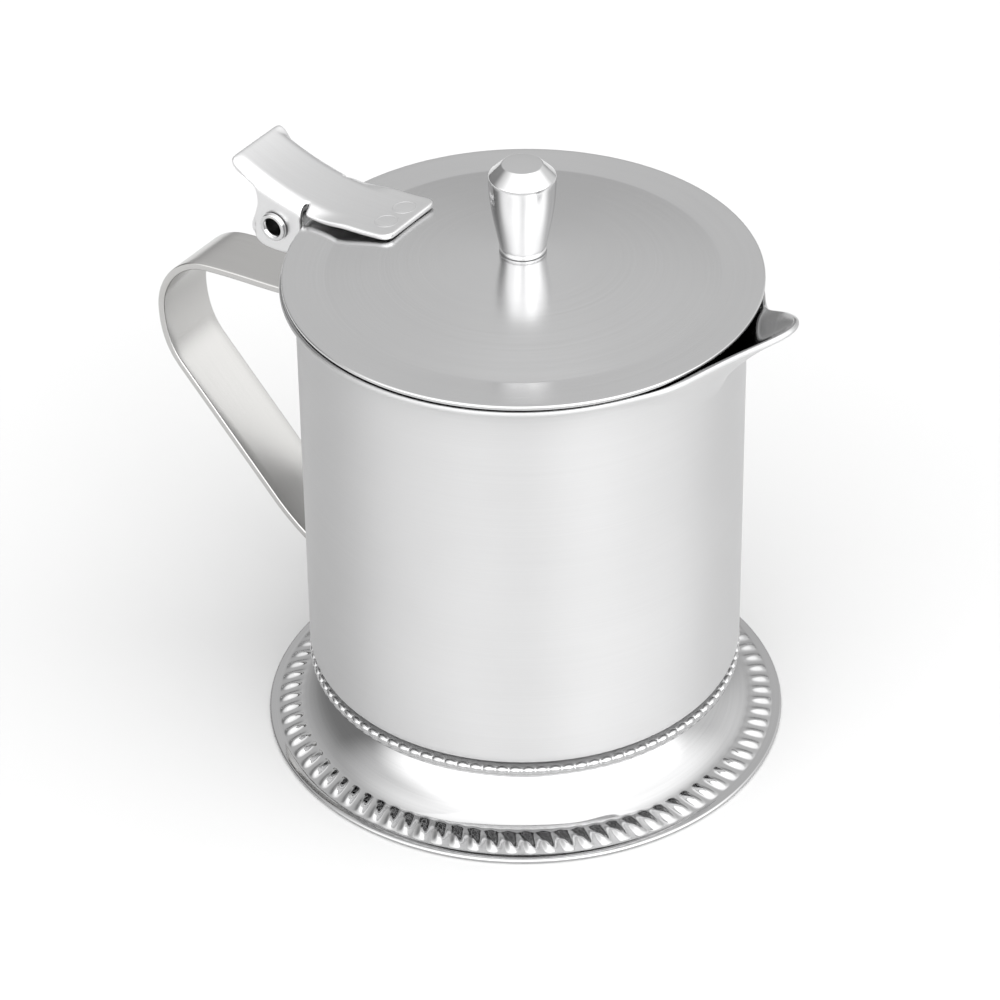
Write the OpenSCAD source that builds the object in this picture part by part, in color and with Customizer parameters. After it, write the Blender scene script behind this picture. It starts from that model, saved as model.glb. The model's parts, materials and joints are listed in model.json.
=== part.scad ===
// Hinged-lid sauce and cream server in stainless sheet: a straight-sided cup with a pulled
// spout, welded to a flared foot, with a strap handle and a thumb-operated lid.
// Origin: centre of the rim of the foot that rests on the table. +Z up, spout towards +X.

/* [Cup] */
// Outside radius of the cup wall
cup_r = 36; // [34:0.5:38]
// Thickness of the cup sheet
cup_t = 0.7; // [0.5:0.1:1]
// Height of the underside of the cup above the table
cup_z = 13.9; // [13.9:0.1:16]
// Outside radius of the corner between wall and bottom
cup_corner_r = 2.4; // [1.5:0.1:4]
// Outside radius of the rolled lip
lip_r = 38.4; // [37.8:0.1:38.6]
// Height of the centre of the rolled lip
lip_z = 84.2; // [83:0.1:84.4]
// Radius of the roll along the lip
lip_roll_r = 0.55; // [0.4:0.05:0.6]

/* [Spout] */
// How far the tip of the spout stands out past the lip
spout_reach = 11.65; // [9:0.05:12.5]
// How far the tip of the spout rises above the lip
spout_rise = 7.9; // [5:0.1:8.5]
// Half of the angle over which the rim stands out
spout_half_angle = 36; // [32:1:40]
// Half of the angle over which the rim also rises
spout_rise_angle = 26; // [23:0.5:26]
// How many degrees from the tip the rim has fallen most of the way back
spout_spread = 24; // [22:1:25]
// Height of the point where the spout leaves the wall
spout_root_z = 75; // [68:0.5:79]

/* [Foot] */
// Outside radius of the foot
foot_r = 43.46; // [42:0.1:46]
// Thickness of the foot sheet
foot_t = 0.8; // [0.6:0.1:1]
// Width of the flat rim that the foot rests on
foot_rim_w = 1.3; // [0.8:0.1:1.6]
// Radius of the neck of the foot, hidden under the cup
neck_r = 28.6; // [28:0.1:29.5]
// Radius of the middle of the beaded ring under the cup
ring_r = 34.9; // [34.5:0.1:34.9]
// Radius of the section of the beaded ring
ring_section_r = 1.1; // [0.8:0.1:1.1]

/* [Lid] */
// Outside radius of the lid
lid_r = 38.35; // [37.5:0.05:38.35]
// Thickness of the lid sheet
lid_t = 0.8; // [0.6:0.1:1]
// Height of the top of the lid's flat border
lid_z = 85.9; // [85.9:0.05:86.2]
// How far the middle of the lid lies from the middle of the cup, towards the spout
lid_x = 0.4; // [0:0.1:0.4]
// Radius where the flat border ends and the dome starts
dome_r = 31.6; // [28:0.2:33]
// Height of the dome above the flat border
dome_rise = 4.6; // [3:0.1:6]

/* [Knob] */
// Radius of the foot of the knob
knob_foot_r = 3.75; // [3.5:0.05:4.1]
// Largest radius of the knob
knob_r = 5.35; // [4.5:0.05:6]
// Radius of the flat top of the knob
knob_top_r = 3.2; // [2.5:0.1:4]
// Height of the knob
knob_h = 15.7; // [13:0.1:20]
// Height of the bevel under the knob's flat top
knob_bevel_h = 2.2; // [1.5:0.1:4]
// Radius of the screw that holds the knob
screw_r = 1.5; // [1.25:0.25:2]
// Radius of the head of the knob screw
screw_head_r = 2.9; // [2.5:0.1:3.5]

/* [Hinge] */
// Distance from the middle of the cup to the hinge rivet
hinge_x = 43.4; // [43.4:0.1:44.5]
// Height of the hinge rivet
hinge_z = 83.4; // [83:0.1:83.6]
// Outside radius of the tubular hinge rivet
rivet_r = 2.1; // [1.8:0.05:2.2]
// Radius of the hole through the rivet
rivet_hole_r = 1.5; // [1:0.05:1.6]
// Radial gap between the rivet and the barrel it turns in
rivet_gap = 0.05; // [0.02:0.01:0.09]
// Outside radius of the barrel on the hinge bracket
barrel_r = 3.2; // [3:0.1:3.3]
// Width of the hinge bracket
bracket_w = 10.4; // [8:0.1:11]
// Thickness of the sheet of the hinge bracket
bracket_t = 1.2; // [1:0.1:1.4]

/* [Thumb lever] */
// Width of the lever over its ears
lever_w = 13.7; // [13.5:0.1:14.5]
// Thickness of the lever sheet
lever_t = 1; // [0.8:0.1:1]
// Distance from the middle of the cup to the inner end of the lever
lever_in = 20.8; // [20.8:0.1:24]
// Distance from the middle of the cup to the thumb end of the lever
lever_out = 52.2; // [51:0.1:52.8]
// Distance from the middle of the cup to the lowest place of the lever
lever_low_x = 31; // [29:0.5:32]
// Height of the lever's lowest place above the lid's flat border
lever_low_gap = 1.22; // [1.22:0.02:1.5]

/* [Handle] */
// Width of the handle strap
strap_w = 12; // [10:0.5:14]
// Thickness of the handle strap
strap_t = 1.3; // [1:0.1:1.6]
// Height of the top of the strap where it meets the cup
strap_top_z = 71; // [70:0.5:71]

/* [Hidden] */
round_fn = 96;
small_fn = 48;
spout_steps = 48;         // azimuth steps across the spout
wall_steps = 58;          // azimuth steps round the rest of the wall
flare_steps = 6;          // steps along the flare of the lip
curve_steps = 8;          // steps along each curved stretch of a sheet
dome_power = 1.25;        // 1 is a cone, more is rounder
knob_seat_r = 4.2;        // flat on top of the dome under the knob
lever_curve_in = 0.00605; // how the lever curves up from its lowest place, to the lid's side
lever_curve_out = 0.0118; // the same, to the thumb's side

// ---- curves ----
function lerp(a, b, t) = a + (b - a) * t;
function bezier2(a, b, c, t) = lerp(lerp(a, b, t), lerp(b, c, t), t);
function bezier3(a, b, c, d, t) = lerp(bezier2(a, b, c, t), bezier2(b, c, d, t), t);
function bezier3_points(a, b, c, d, first = 0) =
    [for (i = [first:curve_steps]) bezier3(a, b, c, d, i / curve_steps)];
function reversed(list) = [for (i = [len(list) - 1:-1:0]) list[i]];
function unit(v) = v / norm(v);
function left_of(v) = [-v[1], v[0]];
// A path moved sideways by a distance, to its left when the distance is positive.
function moved_path(path, distance) = [
    for (i = [0:len(path) - 1])
        let (before = path[max(i - 1, 0)], after = path[min(i + 1, len(path) - 1)])
        path[i] + distance * left_of(unit(after - before))
];
// The outline of a sheet: a path on one face, and the same path on the other face.
function sheet(path, thickness) = concat(path, reversed(moved_path(path, thickness)));

// ---- cup ----
azimuths = concat(
    [for (i = [0:spout_steps - 1]) spout_half_angle * (2 * i / spout_steps - 1)],
    [for (i = [0:wall_steps - 1])
        spout_half_angle + (360 - 2 * spout_half_angle) * i / wall_steps]);
function bell(azimuth) = pow(1 + pow(azimuth / spout_spread, 2), -4);
// How far the rim stands out: 1 at the tip of the spout, falling smoothly to 0 at its two ends.
function spout_share(azimuth) =
    let (end = bell(spout_half_angle))
    abs(azimuth) < spout_half_angle ? (bell(azimuth) - end) / (1 - end) : 0;
// How far the rim rises, in the same way. It rises only once it is clear of the lid's edge.
function rise_share(azimuth) =
    abs(azimuth) < spout_rise_angle ? pow(cos(90 * azimuth / spout_rise_angle), 3) : 0;
wall_mid_r = cup_r - cup_t / 2;
flare_root_z = lip_z - 2.2;
// The middle of the sheet from the wall to the centre of the lip roll, as [radius, height].
function flare_point(azimuth, t) =
    let (share = spout_share(azimuth),
         root = [wall_mid_r, lerp(flare_root_z, spout_root_z, sqrt(share))],
         end = [lip_r - lip_roll_r + spout_reach * share,
                lip_z + spout_rise * rise_share(azimuth)],
         size = end - root)
    bezier2(root, root + [0.1 * size[0], lerp(0.9, 0.35, sqrt(share)) * size[1]], end, t);
function flare_side(azimuth, t) =
    let (step = 0.01)
    -left_of(unit(flare_point(azimuth, t + step) - flare_point(azimuth, t - step)));
function flare_half_t(t) = lerp(cup_t / 2, lip_roll_r, pow(t, 3));
// One half section of the cup, from its underside over the lip to its inside.
function cup_section(azimuth) =
    let (corner = [cup_r - cup_corner_r, cup_z + cup_corner_r],
         inner_corner_r = cup_corner_r - cup_t,
         tip = flare_point(azimuth, 1),
         side = flare_side(azimuth, 1))
    concat(
        [for (a = [-90:30:0]) corner + cup_corner_r * [cos(a), sin(a)]],
        [for (i = [0:flare_steps]) let (t = i / flare_steps)
            flare_point(azimuth, t) + flare_half_t(t) * flare_side(azimuth, t)],
        [for (a = [45:45:135]) tip + lip_roll_r * (cos(a) * side + sin(a) * left_of(side))],
        [for (i = [flare_steps:-1:0]) let (t = i / flare_steps)
            flare_point(azimuth, t) - flare_half_t(t) * flare_side(azimuth, t)],
        [for (a = [0:-30:-90]) corner + inner_corner_r * [cos(a), sin(a)]]);

module cup_body() {
    rings = [for (a = azimuths) [for (p = cup_section(a))
        [p[0] * cos(a), p[0] * sin(a), p[1]]]];
    count = len(azimuths);
    last = len(rings[0]) - 1;
    points = concat([for (ring = rings) each ring], [[0, 0, cup_z], [0, 0, cup_z + cup_t]]);
    outside_centre = count * (last + 1);
    walls = [for (j = [0:count - 1], i = [0:last - 1])
        let (a = j * (last + 1) + i, b = ((j + 1) % count) * (last + 1) + i)
        each [[a, a + 1, b + 1], [a, b + 1, b]]];
    ends = [for (j = [0:count - 1])
        let (a = j * (last + 1), b = ((j + 1) % count) * (last + 1))
        each [[outside_centre, a, b], [outside_centre + 1, b + last, a + last]]];
    color([0.78, 0.78, 0.79])
        polyhedron(points, concat(walls, ends));
}

// ---- foot ----
module pedestal_base() {
    flute_in = [foot_r - 5.8, foot_t + 1.2];
    ring_drop = 0.2;
    path = concat(
        [[foot_r, foot_t], [foot_r - foot_rim_w, foot_t], [foot_r - foot_rim_w - 0.2, foot_t]],
        bezier3_points(flute_in, [neck_r + 5.4, flute_in[1] + 1.2],
                       [neck_r + 1.9, flute_in[1] + 5], [neck_r, cup_z - foot_t / 2]));
    color([0.85, 0.85, 0.86]) {
        rotate_extrude($fn = round_fn) polygon(sheet(path, foot_t));
        rotate_extrude($fn = round_fn) translate([ring_r, cup_z - ring_section_r - ring_drop])
            circle(r = ring_section_r, $fn = small_fn);
        translate([0, 0, cup_z - foot_t]) cylinder(r = ring_r, h = foot_t, $fn = round_fn);
    }
}

// ---- handle ----
// Outer face of the strap, from the cup at the top round to the cup at the bottom.
strap_path = [for (p = concat(
    [[cup_r - 1, strap_top_z]],
    bezier3_points([42, strap_top_z], [48, 70.5], [54, 70.6], [60, 69.9]),
    bezier3_points([60, 69.9], [65.6, 69.3], [70.1, 63.7], [70, 58], 1),
    bezier3_points([70, 58], [70, 54], [69, 50.3], [66.7, 47.7], 1),
    bezier3_points([47, 26], [44.6, 23.3], [40.4, 20.8], [cup_r - 1, 18.3])))
    [-p[0], p[1]]];
// A tab that lies on the cup wall, where the strap is spot-welded.
module weld_tab(z_low, z_high, width, thickness) {
    intersection() {
        translate([0, 0, z_low]) difference() {
            cylinder(r = cup_r + thickness, h = z_high - z_low, $fn = round_fn);
            translate([0, 0, -1]) cylinder(r = cup_r, h = z_high - z_low + 2, $fn = round_fn);
        }
        translate([-cup_r - 2 * thickness, -width / 2, z_low])
            cube([cup_r, width, z_high - z_low]);
    }
}
module handle() {
    color([0.74, 0.73, 0.72]) {
        difference() {
            rotate([90, 0, 0]) linear_extrude(strap_w, center = true)
                polygon(sheet(strap_path, strap_t));
            cylinder(r = cup_r, h = 2 * strap_top_z, $fn = round_fn);
        }
        weld_tab(strap_top_z - 9, strap_top_z - strap_t / 2, strap_w, strap_t);
        weld_tab(19.6, 28, strap_w, strap_t);
    }
}

// ---- hinge ----
module hinge_cylinder(radius, width) {
    translate([-hinge_x, 0, hinge_z]) rotate([90, 0, 0])
        cylinder(r = radius, h = width, center = true, $fn = small_fn);
}
module hinge_bracket() {
    leaf_x = -hinge_x + barrel_r;
    color([0.70, 0.70, 0.71]) difference() {
        union() {
            hinge_cylinder(barrel_r, bracket_w);
            translate([leaf_x - bracket_t, -bracket_w / 2, strap_top_z])
                cube([bracket_t, bracket_w, hinge_z - strap_top_z]);
            translate([leaf_x - bracket_t, -bracket_w / 2, strap_top_z])
                cube([-cup_r - 0.7 - leaf_x + bracket_t, bracket_w, bracket_t]);
        }
        hinge_cylinder(rivet_r + rivet_gap, bracket_w + 2);
    }
}
module hinge_rivet() {
    half = lever_w / 2 + 1;
    lip = 0.35;
    color([0.80, 0.80, 0.80]) translate([-hinge_x, 0, hinge_z]) rotate([90, 0, 0])
        rotate_extrude($fn = small_fn) polygon([
            [rivet_hole_r, -half], [rivet_r + lip - 0.1, -half], [rivet_r + lip, -half + 0.2],
            [rivet_r + lip, -half + 0.6], [rivet_r, -half + 0.98], [rivet_r, half - 0.98],
            [rivet_r + lip, half - 0.6], [rivet_r + lip, half - 0.2],
            [rivet_r + lip - 0.1, half], [rivet_hole_r, half]]);
}

// ---- thumb lever ----
ear_in = hinge_x - 5;     // clear of the lid's edge and of the cup's lip
// Height of the underside of the lever at a distance from the middle of the cup.
function lever_z(d) =
    lid_z + lever_low_gap
    + (d < lever_low_x ? lever_curve_in : lever_curve_out) * pow(d - lever_low_x, 2);
lever_path = [for (i = [0:3 * curve_steps])
    let (d = lerp(lever_in, lever_out, i / (3 * curve_steps))) [-d, lever_z(d)]];
// A rectangle from x0 to x1 with corners of radius r0 at one end and r1 at the other.
module rounded_strip(x0, x1, width, r0, r1) {
    translate([x0 + r0, -width / 2]) square([x1 - x0 - r0 - r1, width]);
    translate([x0, -width / 2 + r0]) square([r0 + 0.01, width - 2 * r0]);
    translate([x1 - r1 - 0.01, -width / 2 + r1]) square([r1 + 0.01, width - 2 * r1]);
    for (side = [-1, 1]) {
        translate([x0 + r0, side * (width / 2 - r0)]) circle(r = r0, $fn = small_fn);
        translate([x1 - r1, side * (width / 2 - r1)]) circle(r = r1, $fn = small_fn);
    }
}
module lever_ear() {
    lobe = concat(
        bezier3_points([48.6, lever_z(48.6) + 0.4], [47, 88.9], [46.4, 87.2], [47.6, 84.3]),
        bezier3_points([47.6, 84.3], [48.6, 81.9], [48.4, 79], [45.4, 78.6], 1),
        bezier3_points([42, 78.6], [40.7, 78.7], [40.4, 79.9], [ear_in, 83.9]),
        [for (i = [0:4]) let (d = lerp(ear_in, 47.8, i / 4)) [d, lever_z(d) + 0.4]]);
    rotate([90, 0, 0]) linear_extrude(lever_t) polygon([for (p = lobe) [-p[0], p[1]]]);
}
module thumb_lever() {
    color([0.82, 0.82, 0.83]) difference() {
        union() {
            intersection() {
                rotate([90, 0, 0]) linear_extrude(lever_w, center = true)
                    polygon(sheet(lever_path, -lever_t));
                translate([0, 0, lid_z - 5]) linear_extrude(20)
                    rounded_strip(-lever_out, -lever_in, lever_w, 3, 1.6);
            }
            translate([0, -lever_w / 2 + lever_t, 0]) lever_ear();
            translate([0, lever_w / 2, 0]) lever_ear();
        }
        hinge_cylinder(rivet_r, lever_w + 2);
    }
}

// ---- lid and knob ----
function dome_z(r) = lid_z + dome_rise * (1 - pow(max(r, knob_seat_r) / dome_r, dome_power));
knob_z = dome_z(0);
module lid() {
    top = concat([[lid_r - 0.2, lid_z], [dome_r, lid_z]],
                 [for (i = [0:10]) let (r = lerp(dome_r - 2, knob_seat_r, i / 10)) [r, dome_z(r)]],
                 [[screw_r + 0.15, knob_z]]);
    color([0.68, 0.68, 0.69]) translate([lid_x, 0, 0]) rotate_extrude($fn = round_fn)
        polygon(concat([[lid_r, lid_z - lid_t / 2], [lid_r, lid_z - 0.2]], top,
                       reversed([for (i = [1:len(top) - 1]) top[i] - [0, lid_t]]),
                       [[lid_r - lid_t / 2, lid_z - lid_t]]));
}
module knob() {
    top_z = knob_z + knob_h;
    bevel_z = top_z - knob_bevel_h;
    color([0.85, 0.85, 0.86]) translate([lid_x, 0, 0]) difference() {
        rotate_extrude($fn = round_fn) polygon(concat(
            [[0, knob_z], [knob_foot_r, knob_z], [knob_foot_r, knob_z + 0.5],
             [knob_foot_r - 0.2, knob_z + 0.6], [knob_foot_r - 0.2, knob_z + 0.8]],
            bezier3_points([knob_foot_r, knob_z + 1],
                           [(knob_foot_r + knob_r) / 2, knob_z + 0.33 * knob_h],
                           [knob_r, knob_z + 0.52 * knob_h], [knob_r, bevel_z - 0.2]),
            [[knob_r - 0.1, bevel_z], [knob_top_r + 0.2, top_z - 0.15], [knob_top_r - 0.2, top_z],
             [0, top_z]]));
        translate([0, 0, knob_z - 1]) cylinder(r = screw_r, h = 9, $fn = small_fn);
    }
}
module knob_screw() {
    head_h = 1.6;
    slot_w = 0.8;
    head_top = knob_z - lid_t;
    color([0.75, 0.75, 0.76]) translate([lid_x, 0, 0]) difference() {
        union() {
            translate([0, 0, head_top - 0.01]) cylinder(r = screw_r, h = 8, $fn = small_fn);
            rotate_extrude($fn = small_fn) polygon([
                [0, head_top], [screw_head_r, head_top], [screw_head_r, head_top - 0.7],
                [screw_head_r - 0.9, head_top - head_h], [0, head_top - head_h]]);
        }
        translate([-screw_head_r - 1, -slot_w / 2, head_top - head_h - 1])
            cube([2 * screw_head_r + 2, slot_w, 1.8]);
    }
}

cup_body();
pedestal_base();
handle();
hinge_bracket();
hinge_rivet();
thumb_lever();
lid();
knob();
knob_screw();
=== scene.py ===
"""Looks of a stainless sauce server with a hinged lid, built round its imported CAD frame."""
import json
import math

import bpy
import numpy as np
from mathutils import Matrix, Vector
from mathutils.geometry import delaunay_2d_cdt


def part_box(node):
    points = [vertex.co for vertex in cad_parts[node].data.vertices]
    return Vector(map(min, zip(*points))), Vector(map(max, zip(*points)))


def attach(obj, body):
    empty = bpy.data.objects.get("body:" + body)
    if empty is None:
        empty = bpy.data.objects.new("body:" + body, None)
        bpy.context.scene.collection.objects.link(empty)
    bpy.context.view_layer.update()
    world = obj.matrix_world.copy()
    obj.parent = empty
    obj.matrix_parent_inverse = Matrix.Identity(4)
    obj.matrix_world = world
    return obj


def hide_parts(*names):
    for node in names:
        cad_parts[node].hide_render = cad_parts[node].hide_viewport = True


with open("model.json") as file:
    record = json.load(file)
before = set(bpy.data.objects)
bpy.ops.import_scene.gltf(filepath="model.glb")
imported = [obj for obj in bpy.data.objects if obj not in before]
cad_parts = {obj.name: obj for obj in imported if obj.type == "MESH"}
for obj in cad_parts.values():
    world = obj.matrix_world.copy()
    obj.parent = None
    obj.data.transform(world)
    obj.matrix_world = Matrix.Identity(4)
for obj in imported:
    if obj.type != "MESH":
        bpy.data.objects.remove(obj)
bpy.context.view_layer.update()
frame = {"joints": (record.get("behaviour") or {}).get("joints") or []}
MM = 0.001
CUP, LID = "cup", "lid_assembly"

# ---- sizes, in millimetres, worked out from the CAD boxes ----


def box_mm(node):
    low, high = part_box(node)
    return np.array(low) / MM, np.array(high) / MM


cup_low, cup_high = box_mm("cup_body")
foot_high = box_mm("pedestal_base")[1]
strap_low, strap_high = box_mm("handle")
lever_low, lever_high = box_mm("thumb_lever")
bracket_low, bracket_high = box_mm("hinge_bracket")
rivet_low, rivet_high = box_mm("hinge_rivet")
lid_low, lid_high = box_mm("lid")
knob_low, knob_high = box_mm("knob")
screw_low, screw_high = box_mm("knob_screw")
hinge = next(j for j in frame["joints"] if j["name"] == "lid_hinge")
HINGE_D, HINGE_Z = -hinge["pos_m"][0] / MM, hinge["pos_m"][2] / MM

# The cup: its lip and spout stand out from a straight wall. The spout's angles are in degrees.
LIP_R = cup_high[1]
WALL_R = LIP_R - 2.4
WALL_T = 0.7
LIP_ROLL = 0.55
CUP_Z = cup_low[2]
CUP_CORNER = 2.4
LIP_Z = lid_low[2] - 0.9
FLARE_H, FLARE_STEPS = 2.2, 26
SPOUT_REACH, SPOUT_RISE = cup_high[0] - LIP_R - 0.02, cup_high[2] - LIP_Z - 0.45
SPOUT_HALF, SPOUT_RISE_HALF, SPOUT_SPREAD, SPOUT_ROOT_Z = 36.0, 26.0, 24.0, LIP_Z - 9.2

# The foot: flutes near its rim, a neck that the cup hides, and a beaded ring under the cup.
FOOT_R = foot_high[1]
FOOT_T = 0.8
FLUTES, FLUTE_H, FLUTE_SLANT = 84, 0.5, math.radians(13.4)
FLUTE_IN, FLUTE_OUT = FOOT_R - 5.8, FOOT_R - 1.75
NECK_R = FOOT_R - 14.86
RING_R, RING_Z, RING_SECTION_R = FOOT_R - 8.56, CUP_Z - 1.3, 1.1
BEADS, BEAD_H, BEAD_AT, BEAD_HALF = 104, 0.35, math.radians(40), math.radians(28)
CROWN_GAP = 0.02

# The lid, the handle, the lever and the rivet.
LID_X = (lid_low[0] + lid_high[0]) / 2
LID_R = lid_high[1]
LID_T = 0.8
LID_Z = lid_low[2] + LID_T
DOME_R, DOME_RISE, DOME_POWER, SEAT_R = LID_R - 6.75, 4.6, 1.25, 4.2
STRAP_W, STRAP_T = strap_high[1] - strap_low[1], 1.3
LEVER_W, LEVER_T = lever_high[1] - lever_low[1], 1.0
RIVET_R, RIVET_HOLE = 2.1, 1.5


# ---- mesh tools ----
def new_piece(name, points, faces, body, node):
    """A smooth-shaded mesh from points in millimetres, riding on a body in place of a CAD node."""
    mesh = bpy.data.meshes.new(name)
    mesh.from_pydata((np.asarray(points, float) * MM).tolist(), [], faces)
    mesh.validate()
    mesh.polygons.foreach_set("use_smooth", [True] * len(mesh.polygons))
    piece = bpy.data.objects.new(name, mesh)
    bpy.context.scene.collection.objects.link(piece)
    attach(piece, body)
    if node:
        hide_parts(node)
    return piece


def grid_faces(rows, columns, wrap_rows=False, wrap_columns=True):
    faces = []
    for i in range(rows if wrap_rows else rows - 1):
        a, b = i * columns, ((i + 1) % rows) * columns
        for j in range(columns if wrap_columns else columns - 1):
            k = (j + 1) % columns
            faces.append((a + j, a + k, b + k, b + j))
    return faces


def fan(centre, ring, flip=False):
    n = len(ring)
    faces = [(centre, ring[j], ring[(j + 1) % n]) for j in range(n)]
    return [f[::-1] for f in faces] if flip else faces


def rounded(profile, radii, steps=5):
    """A closed or open chain of 2D points with each inner corner rounded to its own radius."""
    out = [np.array(profile[0], float)]
    for i in range(1, len(profile) - 1):
        p, a, b = (np.array(profile[k], float) for k in (i, i - 1, i + 1))
        r = radii[i] if hasattr(radii, "__len__") else radii
        u, v = (a - p) / np.linalg.norm(a - p), (b - p) / np.linalg.norm(b - p)
        turn = math.acos(np.clip(u @ v, -1, 1))
        if r <= 0 or turn > math.pi - 1e-3:
            out.append(p)
            continue
        cut = min(r / math.tan(turn / 2), 0.49 * np.linalg.norm(a - p), 0.49 * np.linalg.norm(b - p))
        r = cut * math.tan(turn / 2)
        centre = p + (u + v) / np.linalg.norm(u + v) * r / math.sin(turn / 2)
        s, e = p + u * cut - centre, p + v * cut - centre
        sweep = math.acos(np.clip(s @ e / (r * r), -1, 1))
        side = np.sign(s[0] * e[1] - s[1] * e[0])
        for k in range(steps + 1):
            t = side * sweep * k / steps
            c, n = math.cos(t), math.sin(t)
            out.append(centre + np.array([c * s[0] - n * s[1], n * s[0] + c * s[1]]))
    out.append(np.array(profile[-1], float))
    return np.array(out)


def revolve(name, profile, steps, body, node, closed=False):
    """A profile of (radius, height) turned round the Z axis. An open profile starts and ends on the axis."""
    profile = np.asarray(profile, float)
    ring = profile if closed else profile[1:-1]
    angle = np.linspace(0, 2 * math.pi, steps, endpoint=False)
    points = np.stack([ring[:, :1] * np.cos(angle), ring[:, :1] * np.sin(angle),
                       np.repeat(ring[:, 1:], steps, 1)], -1).reshape(-1, 3)
    faces = grid_faces(len(ring), steps, wrap_rows=closed)
    if not closed:
        first, last = len(points), len(points) + 1
        points = np.vstack([points, [0, 0, profile[0, 1]], [0, 0, profile[-1, 1]]])
        faces += fan(first, list(range(steps)), flip=True)
        faces += fan(last, list(range(last - 1 - steps, last - 1)))
    return new_piece(name, points, faces, body, node)


def bezier(*points, steps=10):
    """Points along a cubic curve."""
    a, b, c, d = (np.array(p, float) for p in points)
    t = np.linspace(0, 1, steps + 1)[:, None]
    return (1 - t) ** 3 * a + 3 * t * (1 - t) ** 2 * b + 3 * t * t * (1 - t) * c + t ** 3 * d


def resample(path, spacing):
    """The same chain of points with even spacing."""
    path = np.asarray(path, float)
    run = np.r_[0, np.cumsum(np.linalg.norm(np.diff(path, axis=0), axis=1))]
    n = max(2, int(round(run[-1] / spacing)) + 1)
    at = np.linspace(0, run[-1], n)
    return np.stack([np.interp(at, run, path[:, k]) for k in range(path.shape[1])], 1)


def smooth_chain(path, rounds):
    """Relaxes a chain, ends fixed."""
    path = np.array(path, float)
    for _ in range(rounds):
        path[1:-1] = 0.25 * path[:-2] + 0.5 * path[1:-1] + 0.25 * path[2:]
    return path


def smoothstep(x):
    """0 below 0, 1 above 1 and a soft S between."""
    x = np.clip(x, 0, 1)
    return x * x * (3 - 2 * x)


def strap_section(width, thickness, edge, steps=6):
    """A closed rounded rectangle, as (across, out) pairs."""
    out = []
    for cx, cy, start in ((1, 1, 0), (-1, 1, 90), (-1, -1, 180), (1, -1, 270)):
        for k in range(steps + 1):
            a = math.radians(start + 90 * k / steps)
            out.append((cx * (width / 2 - edge) + edge * math.cos(a),
                        cy * (thickness / 2 - edge) + edge * math.sin(a)))
        if cx * cy > 0:
            span = width / 2 - edge
            for k in range(1, 8):
                out.append((cx * span * (1 - k / 4), cy * thickness / 2))
    return np.array(out)


def end_layers(ring, direction, edge):
    """Smaller and smaller copies of a strap's last section, which round its end off."""
    centre = ring.mean(0)
    flat = ring - centre
    size = np.abs(flat).max(0) + 1e-9
    layers = []
    for a in np.radians([30, 60, 80]):
        shrink = edge * (1 - math.cos(a))
        scale = 1 - shrink / np.maximum(size, shrink + 1e-6)
        layers.append(centre + flat * scale + edge * math.sin(a) * direction)
    return layers


def sweep_strap(name, path, width, thickness, edge, hug, body, node):
    """A strap swept along a path in the XZ plane; hug is how far each point follows the cup's curve."""
    path = np.asarray(path, float)
    tangent = np.gradient(path, axis=0)
    tangent /= np.linalg.norm(tangent, axis=1)[:, None]
    section = strap_section(width, thickness, edge)
    rings = []
    for point, ahead, share in zip(path, tangent, hug):
        out = np.array([-ahead[1], ahead[0]])
        y = section[:, 0]
        sag = (WALL_R - np.sqrt(WALL_R ** 2 - y ** 2)) * share
        rings.append(np.stack([point[0] + out[0] * section[:, 1] + sag, y,
                               point[1] + out[1] * section[:, 1]], 1))
    first, last = (np.array([t[0], 0, t[1]]) for t in (tangent[0], tangent[-1]))
    rings = end_layers(rings[0], -first, edge)[::-1] + rings + end_layers(rings[-1], last, edge)
    n = len(section)
    points = np.vstack(rings)
    faces = grid_faces(len(rings), n)
    faces += [tuple(range(n))[::-1], tuple(range(len(points) - n, len(points)))]
    return new_piece(name, points, faces, body, node)


# ---- cup ----
def spout_bell(azimuth):
    """A bell curve over the azimuth in degrees, 1 at the tip of the spout."""
    return (1 + (azimuth / SPOUT_SPREAD) ** 2) ** -4


def spout_share(azimuth):
    """How far the rim stands out: 1 at the tip of the spout, 0 beyond its two ends."""
    end = spout_bell(SPOUT_HALF)
    return np.clip((spout_bell(azimuth) - end) / (1 - end), 0, 1)


def rise_share(azimuth):
    """How far the rim rises: 1 at the tip of the spout, 0 beyond SPOUT_RISE_HALF."""
    inside = np.clip(np.abs(azimuth) / SPOUT_RISE_HALF, 0, 1)
    return np.cos(np.pi / 2 * inside) ** 3


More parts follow.
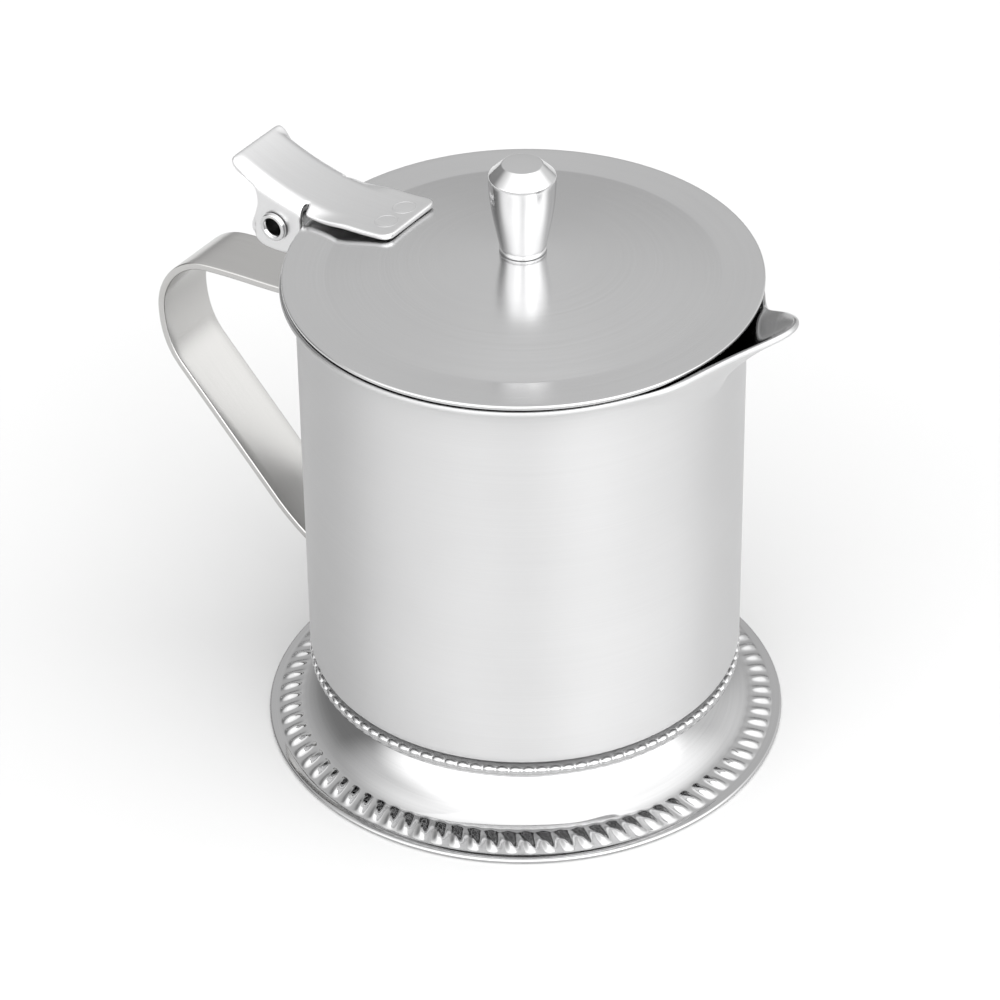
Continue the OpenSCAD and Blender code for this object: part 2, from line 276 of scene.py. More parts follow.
def cup_middle(azimuth):
    """The middle of the cup's sheet at each azimuth, from the centre of the bottom up to the lip."""
    mid = WALL_R - WALL_T / 2
    corner = CUP_CORNER - WALL_T / 2
    share = spout_share(azimuth)
    root_z = LIP_Z - FLARE_H + (SPOUT_ROOT_Z - LIP_Z + FLARE_H) * np.sqrt(share)
    end_r = LIP_R - LIP_ROLL + SPOUT_REACH * share
    end_z = LIP_Z + SPOUT_RISE * rise_share(azimuth)
    rows = []
    for r in np.linspace(4, mid - corner, 7)[:-1]:
        rows.append((np.full_like(azimuth, r), np.full_like(azimuth, CUP_Z + WALL_T / 2)))
    for a in np.radians(np.linspace(-90, 0, 9)):
        rows.append((np.full_like(azimuth, mid - corner + corner * math.cos(a)),
                     np.full_like(azimuth, CUP_Z + WALL_T / 2 + corner + corner * math.sin(a))))
    foot = CUP_Z + WALL_T / 2 + corner
    for t in np.linspace(0, 1, 13)[1:-1]:
        rows.append((np.full_like(azimuth, mid), foot + (root_z - foot) * t))
    for t in np.linspace(0, 1, FLARE_STEPS + 1):
        bend_r = mid + 0.1 * (end_r - mid)
        bend_z = root_z + (0.9 - 0.55 * np.sqrt(share)) * (end_z - root_z)
        rows.append(((1 - t) ** 2 * mid + 2 * t * (1 - t) * bend_r + t * t * end_r,
                     (1 - t) ** 2 * root_z + 2 * t * (1 - t) * bend_z + t * t * end_z))
    return rows


def cup_body():
    """The cup with its rolled lip and spout. Its inner faces have a material of their own: a polished steel
    whose darker base colour is painted shade inside the cup and spout.
    """
    fine = np.linspace(-SPOUT_HALF, SPOUT_HALF, 145)[:-1]
    coarse = np.linspace(SPOUT_HALF, 360 - SPOUT_HALF, 169)[:-1]
    azimuth = np.r_[fine, coarse]
    rows = cup_middle(np.where(azimuth > 180, azimuth - 360, azimuth))
    c, s = np.cos(np.radians(azimuth)), np.sin(np.radians(azimuth))
    middle = np.array([np.stack([r * c, r * s, z], 1) for r, z in rows])
    around = np.roll(middle, -1, 1) - np.roll(middle, 1, 1)
    along = np.gradient(middle, axis=0)
    normal = np.cross(around, along)
    normal /= np.linalg.norm(normal, axis=2)[:, :, None]
    past_wall = np.arange(len(middle)) - (len(middle) - 1 - FLARE_STEPS)
    grow = np.clip(past_wall / FLARE_STEPS, 0, 1)
    half = WALL_T / 2 + (LIP_ROLL - WALL_T / 2) * grow ** 4
    outer = middle + normal * half[:, None, None]
    inner = middle - normal * half[:, None, None]
    tip, out = middle[-1], normal[-1]
    forward = np.cross(out, around[-1])
    forward /= np.linalg.norm(forward, axis=1)[:, None]
    forward *= np.sign((forward * along[-1]).sum(1))[:, None]
    cap = [tip + LIP_ROLL * (math.cos(a) * out + math.sin(a) * forward)
           for a in np.radians(np.linspace(0, 180, 11)[1:-1])]
    rings = list(outer) + cap + list(inner[::-1])
    n = len(azimuth)
    points = np.vstack(rings + [[[0, 0, CUP_Z]], [[0, 0, CUP_Z + WALL_T]]])
    faces = grid_faces(len(rings), n)
    faces += fan(len(points) - 2, list(range(n)), flip=True)
    faces += fan(len(points) - 1, list(range(len(rings) * n - n, len(rings) * n)))
    piece = new_piece("cup_shell", points, faces, CUP, "cup_body")
    # The inner faces get the darker inside steel, whose darkness is painted shade.
    first_inner, first_fan = (len(outer) + 6) * n, (len(rings) - 1) * n
    for index, face in enumerate(piece.data.polygons):
        face.material_index = int(first_inner <= index < first_fan or index >= len(faces) - n)
    return piece


# ---- foot ----
def foot_profile():
    """The top of the foot's sheet as (radius, height), from the rim inwards and up to the crown."""
    flute_in = (FLUTE_IN, FOOT_T + 1.2)
    flat = [(FOOT_R - 0.35, FOOT_T), (FOOT_R - 1.3, FOOT_T)]
    slope = resample([(FOOT_R - 1.6, FOOT_T + 0.05), flute_in], 0.19)
    neck = bezier(flute_in, (NECK_R + 5.4, FOOT_T + 2.4), (NECK_R + 1.9, FOOT_T + 6.2),
                  (NECK_R, CUP_Z - 0.9), steps=22)[1:]
    seat = [(NECK_R + 0.4, CUP_Z - 0.8), (RING_R - 1, CUP_Z - 0.8)]
    ring = [(RING_R + RING_SECTION_R * math.cos(a), RING_Z + RING_SECTION_R * math.sin(a))
            for a in np.radians([*np.linspace(-140, 0, 9), *np.linspace(7, 77, 14)])]
    crown_z = CUP_Z - CROWN_GAP
    crown = [(RING_R - 0.4, crown_z - 0.04), (RING_R - 2, crown_z), (RING_R - 20, crown_z)]
    return flat, slope, np.vstack([neck, seat]), ring, crown


def flute_height(radius, angle):
    """The pressed flutes: a ring of slanted ridges that rise gently outwards and end steeply."""
    along = np.clip((radius - FLUTE_IN) / (FLUTE_OUT - FLUTE_IN), 0, 1)
    slant = math.tan(FLUTE_SLANT) * (radius - (FLUTE_IN + FLUTE_OUT) / 2) / radius
    across = (0.5 + 0.5 * np.cos((angle - slant) * FLUTES)) ** 1.8
    rise_to_one = 5.4
    return FLUTE_H * rise_to_one * along ** 1.5 * (1 - along) * across


def bead_height(angle, around):
    """The row of round beads on the ring; around is the place round the ring's section."""
    place = angle * BEADS / (2 * math.pi)
    across = 2 * (place - np.round(place)) / 0.85
    up = (around - BEAD_AT) / BEAD_HALF
    return BEAD_H * np.sqrt(np.clip(1 - across ** 2 - up ** 2, 0, 1))


def foot():
    """The flared foot, from its middle over the top, round the rim and back along the underside."""
    steps = 1200
    angle = np.linspace(0, 2 * math.pi, steps, endpoint=False)
    flat, slope, neck, ring, crown = foot_profile()
    slant = math.atan2(slope[-1][1] - slope[0][1], slope[0][0] - slope[-1][0])
    top = list(flat)
    for r, z in slope:
        h = flute_height(r, angle)
        top.append((r + h * math.sin(slant), z + h * math.cos(slant)))
    top += list(neck)
    for r, z in ring:
        a = math.atan2(z - RING_Z, r - RING_R)
        h = bead_height(angle, a)
        top.append((r + h * math.cos(a), z + h * math.sin(a)))
    top += crown
    rim = [(FOOT_R - 0.4 + 0.4 * math.cos(a), 0.4 + 0.4 * math.sin(a))
           for a in np.radians([-60, -30, 0, 30, 60])]
    under = [(RING_R - 20, CUP_Z - FOOT_T),
             *bezier((NECK_R - 0.8, CUP_Z - FOOT_T), (NECK_R + 1.1, FOOT_T + 5.8),
                     (NECK_R + 4.9, FOOT_T + 1.5), (FOOT_R - 6, FOOT_T + 0.35), steps=12),
             (FOOT_R - 1.4, 0), (FOOT_R - 0.9, 0), (FOOT_R - 0.3, 0)]
    rings = [np.stack([r * np.cos(angle), r * np.sin(angle), np.full(steps, z)], 1)
             for r, z in top[::-1] + rim[::-1] + under[::-1]]
    points = np.vstack(rings + [[[0, 0, CUP_Z - CROWN_GAP]], [[0, 0, CUP_Z - FOOT_T]]])
    faces = [f[::-1] for f in grid_faces(len(rings), steps)]
    faces += fan(len(points) - 2, list(range(steps)))
    faces += fan(len(points) - 1, list(range(len(rings) * steps - steps, len(rings) * steps)), flip=True)
    return new_piece("foot", points, faces, CUP, "pedestal_base")


# ---- handle ----
def handle():
    """A bent strap whose two ends turn along the cup wall, where they are spot-welded."""
    half = STRAP_T / 2
    wall = WALL_R + half + 0.02
    top_z = bracket_low[2] - half
    outer = np.vstack([
        rounded([(wall, top_z - 8.3), (wall, top_z), (42, top_z)], 2.2, steps=8),
        bezier((42, top_z), (48, top_z - 0.5), (54, top_z - 0.4), (60, top_z - 1.1), steps=12)[1:],
        bezier((60, top_z - 1.1), (65.2, top_z - 1.7), (69.45, 63.3), (69.35, 58), steps=16)[1:],
        bezier((69.35, 58), (69.3, 54.2), (68.5, 50.8), (66.2, 48.1), steps=10)[1:],
        bezier((46.5, 26.6), (44.6, 24.6), (42.2, 22.6), (39.6, 20.9), steps=8),
        rounded([(39.6, 20.9), (wall, 18.9), (wall, 28)], 2.2, steps=8)[1:]])
    path = smooth_chain(resample(outer, 0.55), 3)
    let_go = 3.2
    hug = smoothstep((wall + let_go - path[:, 0]) / let_go)
    flipped = np.stack([-path[:, 0], path[:, 1]], 1)
    return sweep_strap("handle_strap", flipped, STRAP_W, STRAP_T, 0.32, hug, CUP, "handle")


# ---- hinge ----
def hinge_bracket():
    """A strip with its foot on the strap, a leaf, and a barrel rolled round the rivet."""
    thickness = 1.05
    mid_r = RIVET_R + 0.05 + thickness / 2
    width = bracket_high[1] - bracket_low[1]
    leaf_d = HINGE_D - mid_r
    base_z = bracket_low[2] + thickness / 2
    corner = rounded([(WALL_R + 1.0, base_z), (leaf_d, base_z), (leaf_d, HINGE_Z)], 1.3, steps=8)
    barrel = [(HINGE_D - mid_r * math.cos(a), HINGE_Z + mid_r * math.sin(a))
              for a in np.radians(np.linspace(0, 318, 60))]
    path = np.vstack([resample(corner, 0.5), barrel[1:]])
    flipped = np.stack([-path[:, 0], path[:, 1]], 1)
    return sweep_strap("hinge_knuckle", flipped, width, thickness, 0.2, np.zeros(len(path)), CUP,
                       "hinge_bracket")


def turned_along_y(piece, centre):
    """Lays a piece turned round Z along Y instead, round the hinge line."""
    piece.data.transform(Matrix.Translation(Vector(centre) * MM) @ Matrix.Rotation(math.pi / 2, 4, "X"))
    return piece


def hinge_rivet():
    half = (rivet_high[1] - rivet_low[1]) / 2
    lip = RIVET_R + 0.35
    end = rounded([(RIVET_HOLE, 0), (RIVET_HOLE, half - 0.5), (RIVET_HOLE + 0.28, half),
                   (lip - 0.05, half), (lip, half - 0.75), (RIVET_R, half - 1.02), (RIVET_R, 0)],
                  [0, 0.5, 0.2, 0.3, 0.25, 0.1, 0], steps=5)
    lower = end[::-1][1:-1] * [1, -1]
    profile = np.vstack([end, lower])
    piece = revolve("rivet_tube", profile, 72, LID, "hinge_rivet", closed=True)
    return turned_along_y(piece, (-HINGE_D, 0, HINGE_Z))


# ---- thumb lever ----
# Distances are from the cup's axis. The tab lies towards the lid's middle, the thumb plate outside.
LEVER_IN, LEVER_OUT = -lever_high[0], -lever_low[0]
LEVER_LOW_D, LEVER_LOW_GAP = 31.0, 1.22
LEVER_CURVE_IN, LEVER_CURVE_OUT = 0.00605, 0.0118
EAR_IN, NOTCH_W = HINGE_D - 5, 0.85
FOLD_R = 2.1
FOLD_START = LEVER_W / 2 - LEVER_T / 2 - FOLD_R
FOLD_END = FOLD_START + FOLD_R * math.pi / 2
TAB_DROOP, DROOP_FROM, DROOP_TO = math.radians(34), 29.0, EAR_IN - 0.5
THUMB_FLAT, FOLD_FULL = LEVER_OUT - 0.2, HINGE_D + 4.2
BLANK_SPACING = 0.42
EDGE_R = 0.38


def dome_z(r):
    """Height of the top of the lid's dome at a radius."""
    return LID_Z + DOME_RISE * (1 - (np.maximum(r, SEAT_R) / DOME_R) ** DOME_POWER)


def lever_z(d):
    """Height of the middle of the lever's sheet at a distance from the cup's axis."""
    past = d - LEVER_LOW_D
    curve = np.where(past < 0, LEVER_CURVE_IN, LEVER_CURVE_OUT)
    return LID_Z + LEVER_LOW_GAP + LEVER_T / 2 + curve * past ** 2


def lever_points(flat):
    """Where points (d, s) of the flat blank lie once its two sides are folded down."""
    d, s = flat[:, 0], np.abs(flat[:, 1])
    notch_middle = EAR_IN - 0.45
    fold = np.where(d > notch_middle,
                    math.pi / 2 * (1 - smoothstep((d - FOLD_FULL) / (THUMB_FLAT - FOLD_FULL))),
                    TAB_DROOP * smoothstep((d - DROOP_FROM) / (DROOP_TO - DROOP_FROM)))
    past = np.maximum(s - FOLD_START, 0)
    bent = np.minimum(past / FOLD_R, fold)
    rest = past - bent * FOLD_R
    y = np.minimum(s, FOLD_START) + FOLD_R * np.sin(bent) + rest * np.cos(bent)
    z = lever_z(d) - FOLD_R * (1 - np.cos(bent)) - rest * np.sin(bent)
    return np.stack([-d, y * np.sign(flat[:, 1]), z], 1)


def on_ear(points):
    """Ear points (distance, height) as points of the flat blank."""
    points = np.asarray(points, float)
    return np.stack([points[:, 0], FOLD_END + lever_z(points[:, 0]) - FOLD_R - points[:, 1]], 1)


def lever_outline():
    """One half of the blank's edge, from the middle of its inner end to the middle of its thumb end."""
    edge = LEVER_W / 2
    notch_end = FOLD_START + 0.5
    tab = rounded([(LEVER_IN, 0), (LEVER_IN, edge), (EAR_IN - NOTCH_W, edge), (EAR_IN - NOTCH_W, notch_end),
                   (EAR_IN, notch_end), (EAR_IN, FOLD_END)], [0, 1.6, 0.35, 0.4, 0.4, 0], steps=6)
    swell = bezier((48.6, 91.6), (47, 88.9), (46.4, 87.2), (47.6, 84.3), steps=12)
    lobe = bezier((47.6, 84.3), (48.6, 81.9), (48.4, 79), (45.4, 78.6), steps=12)[1:]
    lid_side = bezier((42, 78.6), (40.7, 78.7), (40.4, 79.9), (EAR_IN, 83.9), steps=10)
    ear = on_ear(np.vstack([swell, lobe, lid_side])[::-1])
    ear = ear[ear[:, 1] > edge + 0.15]
    thumb = rounded([(50, edge), (LEVER_OUT, edge), (LEVER_OUT, 0)], [0, 3.0, 0], steps=8)
    chain = resample(np.vstack([tab, ear, thumb]), 0.32)
    return smooth_chain(chain, 3)


def to_edge(points, loops):
    """The distance from each point to the nearest edge of the blank, and whether it lies inside."""
    nearest = np.full(len(points), np.inf)
    inside = np.zeros(len(points), bool)
    for loop in loops:
        for start, step in zip(loop, np.roll(loop, -1, 0) - loop):
            away = points - start
            t = np.clip((away @ step) / (step @ step), 0, 1)
            nearest = np.minimum(nearest, np.linalg.norm(away - t[:, None] * step, axis=1))
            if step[1]:
                rises = (start[1] > points[:, 1]) != (start[1] + step[1] > points[:, 1])
                inside ^= rises & (away[:, 0] < away[:, 1] * step[0] / step[1])
    return nearest, inside


def blank_points(loops):
    """The points of the flat blank: its edges first, then rows along them, then an even grid."""
    flat = list(loops)
    for depth in (0.03, 0.12, 0.25, 0.4):
        for loop in loops:
            run = np.roll(loop, -1, 0) - np.roll(loop, 1, 0)
            across = np.stack([-run[:, 1], run[:, 0]], 1) / np.linalg.norm(run, axis=1)[:, None]
            for side in (1, -1):
                row = loop + side * depth * across
                far, inside = to_edge(row, loops)
                flat.append(row[inside & (far > depth - 0.012)])
    half_width = 17
    grid = np.stack(np.meshgrid(np.arange(LEVER_IN, LEVER_OUT, BLANK_SPACING),
                                np.arange(-half_width, half_width + 0.1, BLANK_SPACING)), -1)
    grid = grid.reshape(-1, 2)
    far, inside = to_edge(grid, loops)
    flat.append(grid[inside & (far > 0.6)])
    return np.vstack(flat)


def blank_triangles(flat, loops):
    """The blank's points joined into triangles that all turn the same way, with its edges kept."""
    ties, start = [], 0
    for loop in loops:
        border = range(start, start + len(loop))
        ties += [(a, b) for a, b in zip(border, [*border[1:], border[0]])]
        start += len(loop)
    made = delaunay_2d_cdt([Vector(p) for p in flat], ties, [], 0, 1e-6)
    flat = np.array([tuple(p) for p in made[0]])
    triangles = np.array([tuple(f) for f in made[2]])
    triangles = triangles[to_edge(flat[triangles].mean(1), loops)[1]]
    corners = flat[triangles]
    one, two = corners[:, 1] - corners[:, 0], corners[:, 2] - corners[:, 0]
    turns_left = one[:, 0] * two[:, 1] > one[:, 1] * two[:, 0]
    return flat, np.where(turns_left[:, None], triangles, triangles[:, ::-1])


def lever_up(flat):
    """The way that the folded sheet's upper face looks at each point of the blank."""
    step = 0.01
    along = lever_points(flat + [step, 0]) - lever_points(flat - [step, 0])
    off_middle = np.abs(flat[:, 1]) > 2 * step
    over = np.where(off_middle[:, None], 1.0, 0.0) * [[0, step]]
    side = lever_points(flat + over) - lever_points(flat - over)
    side[~off_middle] = (0, 1, 0)
    up = np.cross(side, along)
    up /= np.linalg.norm(up, axis=1)[:, None]
    return up * np.sign(np.where(np.abs(up[:, 2]) > 0.02, up[:, 2], up[:, 1] * flat[:, 1]))[:, None]


def thumb_lever():
    """A pressed sheet: tab, thumb plate and two ears, cut as a flat blank and folded."""
    half = lever_outline()
    around = np.radians(np.linspace(0, 360, 48, endpoint=False))
    hole = on_ear(np.stack([HINGE_D + RIVET_R * np.cos(around), HINGE_Z + RIVET_R * np.sin(around)], 1))
    loops = [np.vstack([half, (half * [1, -1])[::-1][1:-1]]), hole, hole * [1, -1]]
    flat, triangles = blank_triangles(blank_points(loops), loops)
    far = np.minimum(to_edge(flat, loops)[0], EDGE_R)
    thick = LEVER_T / 2 - EDGE_R + np.sqrt(EDGE_R ** 2 - (EDGE_R - far) ** 2)
    middle, up = lever_points(flat), lever_up(flat)
    points = np.vstack([middle + up * thick[:, None], middle - up * thick[:, None]])
    n = len(flat)
    triangles = triangles.tolist()
    faces = [tuple(t[::-1]) for t in triangles] + [tuple(k + n for k in t) for t in triangles]
    sides = [(t[k], t[(k + 1) % 3]) for t in triangles for k in range(3)]
    both_ways = set(sides)
    faces += [(a, b, b + n, a + n) for a, b in sides if (b, a) not in both_ways]
    return new_piece("thumb_lever_sheet", points, faces, LID, "thumb_lever")


def spot_welds():
    """The two round marks where the lever is welded to the lid."""
    profile = rounded([(0, 0.02), (1.45, 0.02), (1.65, -0.03), (1.9, 0.07), (2.1, -0.02), (2.1, -0.2),
                       (0, -0.2)], [0, 0.3, 0.2, 0.2, 0.05, 0.05, 0], steps=4)[::-1]
    d, aside = 24.2, 2.5
    z = float(lever_z(np.array(d))) + LEVER_T / 2
    slope = math.atan2(float(lever_z(np.array(d - 0.5)) - lever_z(np.array(d + 0.5))), 1.0)
    made = []
    for name, y in (("weld_mark_left", aside), ("weld_mark_right", -aside)):
        piece = revolve(name, profile, 48, LID, None)
        piece.data.transform(Matrix.Translation(Vector((-d, y, z)) * MM)
                             @ Matrix.Rotation(-slope, 4, "Y"))
        made.append(piece)
    return made


# ---- lid and knob ----
def over_lid_middle(piece):
    """Moves a piece turned round Z to the middle of the lid, which lies a little towards the spout."""
    piece.data.transform(Matrix.Translation(Vector((LID_X, 0, 0)) * MM))
    return piece


def lid():
    top = [(LID_R - 0.28, LID_Z)] + [(r, LID_Z) for r in np.linspace(LID_R - 1, DOME_R + 0.8, 6)]
    dome = [(r, float(dome_z(np.array(r)))) for r in np.linspace(DOME_R - 1.2, SEAT_R, 30)]
    top = rounded(top + [(DOME_R, LID_Z)] + dome + [(1.65, float(dome_z(np.array(0.0))))],
                  [0] * 7 + [2.5] + [0] * 40, steps=6)
    rim = [(LID_R - 0.28 + 0.28 * math.cos(a), LID_Z - 0.28 + 0.28 * math.sin(a))
           for a in np.radians([0, 22, 45, 68])]
    low_rim = [(LID_R - 0.4 + 0.4 * math.cos(a), LID_Z - LID_T + 0.4 + 0.4 * math.sin(a))
               for a in np.radians([-90, -68, -45, -22, 0])]
    bottom = (top - [0, LID_T])[::-1][:-1]
    profile = np.vstack([low_rim, rim, top, bottom])
    return over_lid_middle(revolve("lid_plate", profile[::-1], 288, LID, "lid", closed=True))


def knob():
    z0, z1 = knob_low[2], knob_high[2]
    wide = knob_high[1]
    height = z1 - z0
    foot_r, top_r, bevel_z, bore_r, bore_z = 3.75, 3.2, z1 - 2.2, 1.5, z0 + 8
    foot = rounded([(0, bore_z), (bore_r, bore_z), (bore_r, z0), (foot_r - 0.15, z0), (foot_r, z0 + 0.12),
                    (foot_r, z0 + 0.5), (foot_r - 0.2, z0 + 0.6), (foot_r - 0.2, z0 + 0.8),
                    (foot_r - 0.02, z0 + 0.95)], [0, 0, 0, 0.1, 0.1, 0.1, 0.08, 0.08, 0], steps=5)
    belly = bezier((foot_r, z0 + 1.0), ((foot_r + wide) / 2, z0 + 0.33 * height),
                   (wide, z0 + 0.52 * height), (wide, bevel_z - 0.2), steps=30)
    top = rounded([(wide, bevel_z - 0.2), (wide - 0.03, bevel_z), (top_r, z1 - 0.08), (1.0, z1), (0, z1)],
                  [0, 0.5, 0.5, 3, 0], steps=6)[1:]
    outline = np.vstack([foot, belly, top])
    return over_lid_middle(revolve("knob_turned", outline, 144, LID, "knob"))


def knob_screw():
    z0, top = screw_low[2], screw_high[2]
    seat = float(dome_z(np.array(0.0))) - LID_T
    r = screw_high[1]
    outline = rounded([(0, top), (1.2, top), (1.48, top - 0.3), (1.48, seat), (r, seat), (r, seat - 0.7),
                       (r - 0.9, z0), (0.9, z0), (0.75, z0 + 0.9), (0, z0 + 1.0)],
                      [0, 0.1, 0.1, 0, 0.15, 0.5, 0.3, 0.1, 0.1, 0], steps=4)[::-1]
    return over_lid_middle(revolve("screw_pan_head", outline, 64, LID, "knob_screw"))


# ---- materials ----
def node(tree, kind, place=(0, 0), **values):
    made = tree.nodes.new(kind)
    made.location = place
    for key, value in values.items():
        if key in made.inputs:
            made.inputs[key].default_value = value
        else:
            setattr(made, key, value)
    return made


def arithmetic(tree, operation, place, *values):
    """The output of a maths node whose inputs are linked, or set where they are plain numbers."""
    made = node(tree, "ShaderNodeMath", place, operation=operation)
    for socket, value in zip(made.inputs, values):
        if isinstance(value, (int, float)):
            socket.default_value = value
        else:
            tree.links.new(value, socket)
    return made.outputs[0]


def grain_lines(tree, where, grain):
    """Fine noise drawn out into lines. grain is (x, y, z, radius): how fine it is along each way."""
    split = node(tree, "ShaderNodeSeparateXYZ", (-1100, 0))
    tree.links.new(where, split.inputs[0])
    squares = [arithmetic(tree, "POWER", (-1100, -200 - 80 * k), split.outputs[k], 2.0) for k in range(2)]
    radius = arithmetic(tree, "SQRT", (-750, -200), arithmetic(tree, "ADD", (-900, -200), *squares))
    x, y, z, round_axis = (arithmetic(tree, "MULTIPLY", (-600, 200 - 150 * k), way, fineness)
                           for k, (way, fineness) in enumerate(zip([*split.outputs, radius], grain)))
    lines_at = node(tree, "ShaderNodeCombineXYZ", (-300, 0))
    tree.links.new(x, lines_at.inputs[0])
    tree.links.new(y, lines_at.inputs[1])
    tree.links.new(arithmetic(tree, "ADD", (-450, -250), z, round_axis), lines_at.inputs[2])
    lines = node(tree, "ShaderNodeTexNoise", (-100, 0), Scale=1.0, Detail=4.0, Roughness=0.6)
    tree.links.new(lines_at.outputs[0], lines.inputs["Vector"])
    return lines.outputs["Fac"]


def steel(name, dark, bright, rough, rough_spread, grain, grain_bump, anisotropic=0.0, wave=0.0):
    """A polished or brushed steel, with brushed lines, soft clouds and, with wave, a slight swell."""
    material = bpy.data.materials.new(name)
    material.use_nodes = True
    tree = material.node_tree
    tree.nodes.clear()
    link = tree.links.new
    output = node(tree, "ShaderNodeOutputMaterial", (900, 0))
    shader = node(tree, "ShaderNodeBsdfPrincipled", (600, 0), Metallic=1.0)
    link(shader.outputs["BSDF"], output.inputs["Surface"])
    where = node(tree, "ShaderNodeTexCoord", (-1300, 0)).outputs["Object"]
    lines = grain_lines(tree, where, grain)
    clouds = node(tree, "ShaderNodeTexNoise", (-100, 300), Scale=26.0, Detail=3.0, Roughness=0.5)
    link(where, clouds.inputs["Vector"])
    mix = arithmetic(tree, "ADD", (100, 150), arithmetic(tree, "MULTIPLY", (0, 80), lines, 0.5),
                     arithmetic(tree, "MULTIPLY", (0, 230), clouds.outputs["Fac"], 0.5))
    tint = node(tree, "ShaderNodeValToRGB", (250, 300))
    for stop, position, colour in zip(tint.color_ramp.elements, (0.35, 0.65), (dark, bright)):
        stop.position, stop.color = position, (*colour, 1)
    link(mix, tint.inputs[0])
    link(tint.outputs[0], shader.inputs["Base Color"])
    spread = node(tree, "ShaderNodeMapRange", (250, 0))
    for socket, value in (("From Min", 0.3), ("From Max", 0.7), ("To Min", rough - rough_spread),
                          ("To Max", rough + rough_spread)):
        spread.inputs[socket].default_value = value
    link(mix, spread.inputs["Value"])
    link(spread.outputs[0], shader.inputs["Roughness"])
    bump = node(tree, "ShaderNodeBump", (350, -250), Strength=grain_bump, Distance=0.00002)
    link(lines, bump.inputs["Height"])
    if wave:
        swell = node(tree, "ShaderNodeTexNoise", (-100, -500), Scale=45.0, Detail=1.0)
        link(where, swell.inputs["Vector"])
        sway = node(tree, "ShaderNodeBump", (200, -450), Strength=wave, Distance=0.0002)
        link(swell.outputs["Fac"], sway.inputs["Height"])
        link(sway.outputs[0], bump.inputs["Normal"])
    link(bump.outputs[0], shader.inputs["Normal"])
    if anisotropic:
        shader.inputs["Anisotropic"].default_value = anisotropic
        shader.inputs["Anisotropic Rotation"].default_value = 0.25
        tangent = node(tree, "ShaderNodeTangent", (350, -450), direction_type="RADIAL", axis="Z")
        link(tangent.outputs[0], shader.inputs["Tangent"])
    return material


def grey(value):
    """The very slightly cool grey of steel."""
    return value, value, value + 0.002


def paint(piece, *materials):
    for material in materials:
        piece.data.materials.append(material)


SATIN = steel("satin_steel", grey(0.55), grey(0.59), 0.50, 0.02,
              (25, 25, 9000, 0), 0.05, anisotropic=0.82)
# The inside of the cup: a polished finish with a base colour darker than the outside steel's, which is
# painted shade inside the cup and spout.
POLISHED_INSIDE_PAINTED_SHADE = steel("cup_inside_polished_painted_shade", grey(0.38), grey(0.42), 0.12, 0.03,
              (60, 60, 4000, 0), 0.04)
MIRROR = steel("mirror_steel", grey(0.47), grey(0.51), 0.06, 0.02,
               (30, 30, 0, 3000), 0.02, wave=0.05)
LID_STEEL = steel("lid_steel", grey(0.56), grey(0.60), 0.17, 0.02,
                  (20, 20, 0, 9000), 0.05, anisotropic=0.5)
STRAP_STEEL = steel("strap_steel", (0.505, 0.50, 0.49), (0.545, 0.54, 0.53), 0.22, 0.04,
                    (60, 5000, 60, 0), 0.06, wave=0.06)
LEVER_STEEL = steel("lever_steel", grey(0.66), grey(0.70), 0.33, 0.03,
                    (60, 5000, 60, 0), 0.05)
TURNED = steel("turned_steel", grey(0.58), grey(0.62), 0.13, 0.03,
               (30, 30, 12000, 0), 0.08, anisotropic=0.3)
HINGE_STEEL = steel("hinge_steel", grey(0.58), grey(0.62), 0.18, 0.04,
                    (400, 400, 400, 0), 0.04)

paint(cup_body(), SATIN, POLISHED_INSIDE_PAINTED_SHADE)
paint(foot(), MIRROR)
paint(handle(), STRAP_STEEL)
paint(hinge_bracket(), HINGE_STEEL)
paint(hinge_rivet(), HINGE_STEEL)
paint(thumb_lever(), LEVER_STEEL)
for mark in spot_welds():
    paint(mark, LEVER_STEEL)
paint(lid(), LID_STEEL)
paint(knob(), TURNED)
paint(knob_screw(), HINGE_STEEL)

# ---- camera ----
AZIMUTH, ELEVATION, ROLL = math.radians(34.0), math.radians(35.3), math.radians(-0.60)
TARGET = Vector((0, 0, 41.46)) * MM
DISTANCE = 694.2 * MM
RIGHT = Vector((math.cos(AZIMUTH), math.sin(AZIMUTH), 0))
AWAY = Vector((-math.sin(AZIMUTH), math.cos(AZIMUTH), 0))
UP = Vector((0, 0, 1))


def camera():
    data = bpy.data.cameras.new("camera")
    data.lens, data.sensor_width = 152.0, 36.0
    data.shift_x = -0.0235
    data.clip_start, data.clip_end = 0.01, 20
    looker = bpy.data.objects.new("camera", data)
    forward = AWAY * math.cos(ELEVATION) - UP * math.sin(ELEVATION)
    level_up = AWAY * math.sin(ELEVATION) + UP * math.cos(ELEVATION)
    right = RIGHT * math.cos(ROLL) + level_up * math.sin(ROLL)
    up = -RIGHT * math.sin(ROLL) + level_up * math.cos(ROLL)
    turn = Matrix((right, up, -forward)).transposed().to_4x4()
    looker.matrix_world = Matrix.Translation(TARGET - forward * DISTANCE) @ turn
    bpy.context.scene.collection.objects.link(looker)
    bpy.context.scene.camera = looker


# ---- studio ----
def floor():
    """A plain pale matt floor, 8 m square."""
    mesh = bpy.data.meshes.new("floor")
    mesh.from_pydata([(-4, -4, 0), (4, -4, 0), (4, 4, 0), (-4, 4, 0)], [], [(0, 1, 2, 3)])
    piece = bpy.data.objects.new("floor", mesh)
    bpy.context.scene.collection.objects.link(piece)
    material = bpy.data.materials.new("pale_floor")
    material.use_nodes = True
    shader = material.node_tree.nodes["Principled BSDF"]
    shader.inputs["Base Color"].default_value = (0.58, 0.58, 0.58, 1)
    shader.inputs["Roughness"].default_value = 0.9
    shader.inputs["Specular IOR Level"].default_value = 0.1
    paint(piece, material)


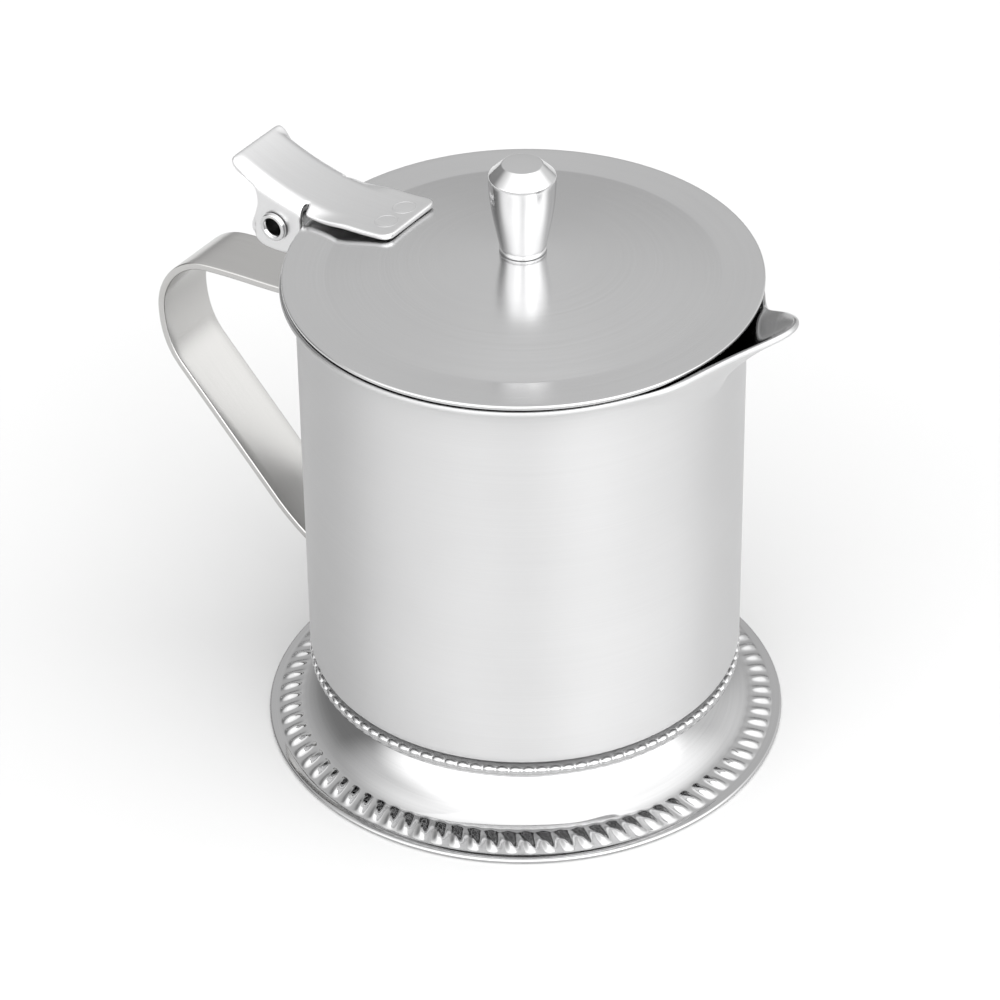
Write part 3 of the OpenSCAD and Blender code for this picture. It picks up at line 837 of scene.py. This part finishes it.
def softbox(name, right, away, up, size, radiance):
    """A rectangular lamp at a place given to the camera's right, away from it and up, in metres."""
    aim = Vector((0, 0, 0.05))
    data = bpy.data.lights.new(name, "AREA")
    data.shape = "RECTANGLE"
    data.size, data.size_y = size
    data.energy = radiance * math.pi * size[0] * size[1]
    lamp = bpy.data.objects.new(name, data)
    lamp.location = RIGHT * right + AWAY * away + UP * up
    lamp.rotation_mode = "QUATERNION"
    lamp.rotation_quaternion = (lamp.location - aim).to_track_quat("Z", "Y")
    bpy.context.scene.collection.objects.link(lamp)


def surroundings():
    """A white tent, dim low down, with soft bright panels shining through it."""
    world = bpy.data.worlds.new("tent")
    bpy.context.scene.world = world
    world.use_nodes = True
    tree = world.node_tree
    tree.nodes.clear()
    link = tree.links.new
    output = node(tree, "ShaderNodeOutputWorld", (1000, 0))
    back = node(tree, "ShaderNodeBackground", (800, 0), Strength=1.0)
    where = node(tree, "ShaderNodeTexCoord", (-600, 0))
    split = node(tree, "ShaderNodeSeparateXYZ", (-400, 200))
    link(where.outputs["Generated"], split.inputs[0])
    height = node(tree, "ShaderNodeMapRange", (-100, 200))
    height.inputs["To Min"].default_value, height.inputs["To Max"].default_value = TENT_LOW, TENT_TOP
    link(split.outputs[2], height.inputs["Value"])
    total = height.outputs[0]
    for turn, rise, wide, strength in PANELS:
        turn, rise, wide = math.radians(turn), math.radians(rise), math.radians(wide)
        level = RIGHT * math.sin(turn) - AWAY * math.cos(turn)
        dot = node(tree, "ShaderNodeVectorMath", (-400, -300), operation="DOT_PRODUCT")
        link(where.outputs["Generated"], dot.inputs[0])
        dot.inputs[1].default_value = level * math.cos(rise) + UP * math.sin(rise)
        fade = node(tree, "ShaderNodeMapRange", (-100, -300), interpolation_type="SMOOTHSTEP")
        fade.inputs["From Min"].default_value = math.cos(wide)
        fade.inputs["From Max"].default_value = 1.0
        fade.inputs["To Max"].default_value = strength
        link(dot.outputs["Value"], fade.inputs["Value"])
        total = arithmetic(tree, "ADD", (400, 0), total, fade.outputs[0])
    link(total, back.inputs["Color"])
    link(back.outputs[0], output.inputs["Surface"])


# How bright the tent is low down and overhead, and its panels: degrees to the right of the
# camera, degrees up, degrees from the middle to the edge, and brightness.
TENT_LOW, TENT_TOP = 0.3, 0.35
PANELS = [(-45, 10, 50, 1.5), (5, 10, 50, 1.2), (50, 12, 50, 1.6), (110, 15, 50, 0.7),
          (-60, 45, 50, 0.9), (0, 45, 50, 0.7), (60, 45, 55, 1.3), (180, 50, 60, 0.5),
          (0, 80, 50, 0.6)]

camera()
floor()
surroundings()
softbox("overhead", 0.0, 0.1, 1.1, (0.8, 0.8), 0.3)
bpy.context.scene.view_settings.view_transform = "Standard"
